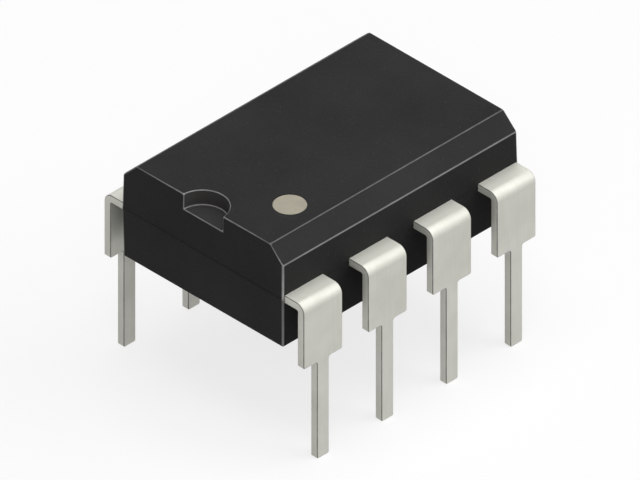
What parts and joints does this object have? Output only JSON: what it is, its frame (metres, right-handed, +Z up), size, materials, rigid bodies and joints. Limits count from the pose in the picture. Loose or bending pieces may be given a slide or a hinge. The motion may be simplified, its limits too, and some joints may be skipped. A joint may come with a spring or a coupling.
{
  "type": "dual in-line chip",
  "caption": "Black moulded through-hole chip package with a notched end, an index dot and two rows of formed, tinned leads around a silicon chip wired to its lead frame.",
  "frame": {"origin": "under the middle of the chip, on the plane of the eight lead tips", "axes": "+Z up from the tips to the top face, Y along the body with the notched end at -Y, leads 1 to 4 on the +X side and 5 to 8 on the -X side"},
  "size_m": [0.0078, 0.0092, 0.007],
  "materials": {
    "epoxy": "matte",
    "ink": "matte",
    "tinned_lead": "satin",
    "copper_alloy": "satin",
    "adhesive": "matte",
    "silicon": "polished",
    "gold_wire": "gloss"
  },
  "bodies": {
    "root": {"body": "epoxy", "pin_1_dot": "ink", "lead_1": "tinned_lead", "lead_2": "tinned_lead", "lead_3": "tinned_lead", "lead_4": "tinned_lead", "lead_5": "tinned_lead", "lead_6": "tinned_lead", "lead_7": "tinned_lead", "lead_8": "tinned_lead", "die_pad": "copper_alloy", "die_attach": "adhesive", "die": "silicon", "bond_wire_1": "gold_wire", "bond_wire_2": "gold_wire", "bond_wire_3": "gold_wire", "bond_wire_4": "gold_wire", "bond_wire_5": "gold_wire", "bond_wire_6": "gold_wire", "bond_wire_7": "gold_wire", "bond_wire_8": "gold_wire"}
  },
  "joints": []
}
